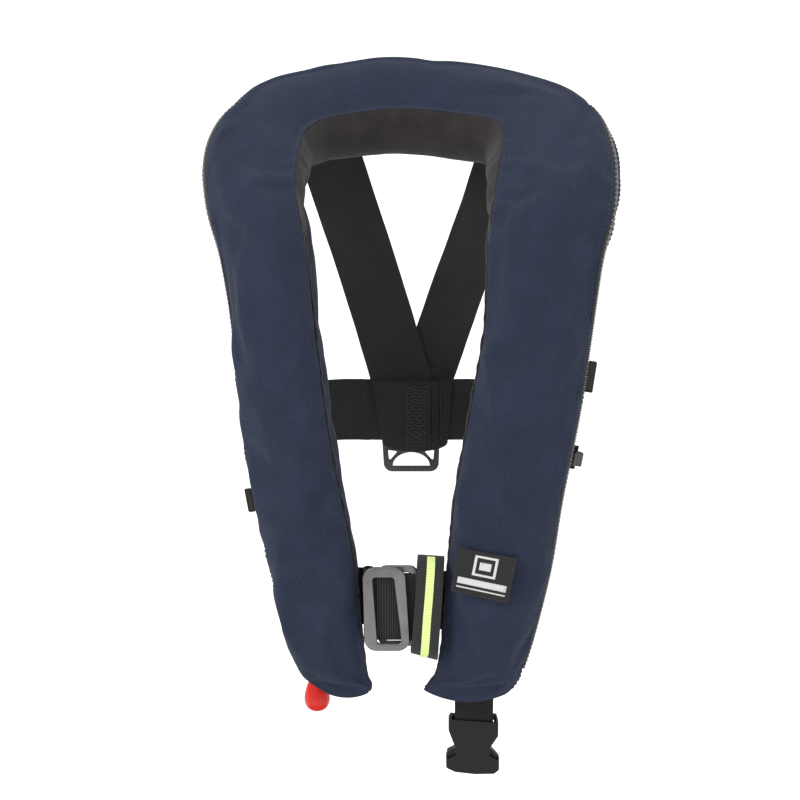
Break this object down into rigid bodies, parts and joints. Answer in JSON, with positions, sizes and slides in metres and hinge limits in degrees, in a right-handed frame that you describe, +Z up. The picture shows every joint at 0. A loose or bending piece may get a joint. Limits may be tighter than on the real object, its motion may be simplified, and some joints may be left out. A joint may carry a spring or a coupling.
{
  "type": "inflatable life jacket",
  "caption": "Horseshoe inflatable life jacket with zipped cover, bladder, gas inflator, waist and back harness, metal buckle, ring and crotch-strap socket",
  "frame": {"origin": "the nape rest: middle of the collar's inner side, where it bears on the back of the neck, 8 mm under the lining's face", "axes": "+Z up as worn, +X towards the wearer's left lobe as seen from the front (image right), -Y out of the wearer's chest"},
  "size_m": [0.3583, 0.2844, 0.6035],
  "materials": {
    "navy_cloth": "woven polyester, matt, diamond texture",
    "lining": "soft brushed knit",
    "webbing": "woven polyester webbing",
    "crotch_webbing": "woven polyester webbing",
    "zip_tape": "knitted tape",
    "zip_teeth": "moulded teeth",
    "bladder": "coated nylon",
    "label": "woven label",
    "red_moulding": "moulded",
    "ring_coating": "satin coating",
    "buckle_metal": "satin",
    "bare_steel": "zinc plated",
    "eyelet": "darkened",
    "black_moulding": "moulded",
    "tube_rubber": "moulded",
    "yellow_moulding": "moulded",
    "indicator": "moulded",
    "whistle": "moulded",
    "cord": "braided",
    "neon": "fluorescent woven stripe",
    "buckle_plastic": "fine textured acetal"
  },
  "bodies": {
    "jacket": {"cover_front": "navy_cloth", "cover_back": "navy_cloth", "neck_lining": "lining", "zip_tape": "zip_tape", "zip_teeth": "zip_teeth", "bladder": "bladder", "waist_belt_back": "webbing", "waist_belt_left": "webbing", "waist_belt_right": "webbing", "back_strap_left": "webbing", "back_strap_right": "webbing", "keeper_front": "webbing", "keeper_rear": "webbing", "belt_end_left": "webbing", "belt_end_right": "webbing", "ring_loop": "webbing", "inflator_body": "black_moulding", "inflator_nut": "bare_steel", "firing_spring": "bare_steel", "lever_pin": "bare_steel", "pull_lanyard": "cord", "lanyard_eyelet": "eyelet", "oral_tube": "tube_rubber", "oral_flange": "tube_rubber", "oral_valve_spring": "bare_steel", "whistle_cord": "cord", "woven_label": "label", "side_tab_right": "webbing", "side_tab_left": "webbing", "lifting_loop": "webbing", "belt_loop_left": "webbing", "belt_loop_right": "webbing"},
    "toggle": {"pull_toggle": "red_moulding"},
    "lever": {"pull_lever": "black_moulding"},
    "pin": {"firing_pin": "bare_steel"},
    "cylinder": {"co2_cylinder": "bare_steel"},
    "cartridge": {"cartridge_cap": "yellow_moulding", "status_indicator": "indicator"},
    "mouth_cap": {"oral_cap": "yellow_moulding"},
    "poppet": {"oral_valve_poppet": "yellow_moulding"},
    "whistle_body": {"whistle": "whistle"},
    "slider": {"zip_slider": "bare_steel"},
    "slider_pull": {"zip_pull": "webbing"},
    "keeper_loop": {"soft_loop": "webbing", "soft_loop_stripe": "neon"},
    "outer_frame": {"buckle_outer_frame": "buckle_metal", "buckle_bar": "buckle_metal"},
    "inner_frame": {"buckle_inner_frame": "buckle_metal"},
    "ring": {"back_ring": "ring_coating"},
    "crotch_web": {"crotch_tab": "crotch_webbing"},
    "socket": {"side_release_socket": "buckle_plastic"}
  },
  "joints": [
    {"name": "toggle_pull", "type": "slide", "parent": "jacket", "child": "toggle", "axis": [0, 0, -1], "range_m": [0, 0.024], "deforming": ["pull_lanyard"]},
    {"name": "lever_swing", "type": "hinge", "parent": "jacket", "child": "lever", "pos_m": [-0.07352, -0.15145, -0.40875], "axis": [-0.0047, -0.9997, 0.0228], "range_deg": [0, 90.2]},
    {"name": "pin_strike", "type": "slide", "parent": "jacket", "child": "pin", "axis": [-0.202, 0.0233, 0.9791], "range_m": [0, 0.00401], "deforming": ["firing_spring"]},
    {"name": "cylinder_unscrew", "type": "hinge", "parent": "jacket", "child": "cylinder", "pos_m": [-0.06, -0.1515, -0.408], "axis": [-0.202, 0.0233, 0.9791], "range_deg": [0, 720]},
    {"name": "cartridge_unscrew", "type": "hinge", "parent": "jacket", "child": "cartridge", "pos_m": [-0.06, -0.1515, -0.408], "axis": [-0.202, 0.0233, 0.9791], "range_deg": [0, 360]},
    {"name": "mouth_cap_pull", "type": "slide", "parent": "jacket", "child": "mouth_cap", "axis": [0.1482, 0.0395, 0.9882], "range_m": [0, 0.012]},
    {"name": "mouth_valve_press", "type": "slide", "parent": "jacket", "child": "poppet", "axis": [-0.1482, -0.0395, -0.9882], "range_m": [0, 0.003], "stiffness_N_per_m": 250, "deforming": ["oral_valve_spring"]},
    {"name": "whistle_swing", "type": "hinge", "parent": "jacket", "child": "whistle_body", "pos_m": [0.068, -0.16, -0.232], "axis": [0, 1, 0], "range_deg": [-7, 10]},
    {"name": "zip_slide", "type": "slide", "parent": "jacket", "child": "slider", "axis": [0.1815, 0.0605, 0.9815], "range_m": [-0.012, 0.012]},
    {"name": "zip_pull_swing", "type": "hinge", "parent": "slider", "child": "slider_pull", "pos_m": [0.14026, -0.14202, -0.24069], "axis": [0.9791, 0.0821, -0.1861], "range_deg": [-2, 80]},
    {"name": "keeper_loop_slide", "type": "slide", "parent": "jacket", "child": "keeper_loop", "axis": [1, 0, 0], "range_m": [-0.0015, 0.001]},
    {"name": "outer_frame_swing", "type": "hinge", "parent": "jacket", "child": "outer_frame", "pos_m": [-0.0305, -0.1625, -0.3745], "axis": [0, 0, -1], "range_deg": [0, 20]},
    {"name": "inner_frame_slide", "type": "slide", "parent": "jacket", "child": "inner_frame", "axis": [1, 0, 0], "range_m": [0, 0.004]},
    {"name": "ring_swing", "type": "hinge", "parent": "jacket", "child": "ring", "pos_m": [0.005, 0.0912, -0.278], "axis": [1, 0, 0], "range_deg": [-4, 85]},
    {"name": "crotch_web_swing", "type": "hinge", "parent": "jacket", "child": "crotch_web", "pos_m": [0.059, -0.126, -0.449], "axis": [1, 0, 0], "range_deg": [-12, 25]},
    {"name": "socket_swing", "type": "hinge", "parent": "crotch_web", "child": "socket", "pos_m": [0.059, -0.126, -0.482], "axis": [1, 0, 0], "range_deg": [-15, 15]}
  ],
  "couplings": [
    {"joint": "lever_swing", "follows": "toggle_pull", "rad_per_m": 65.45},
    {"joint": "pin_strike", "follows": "toggle_pull", "ratio": 0.1667}
  ]
}
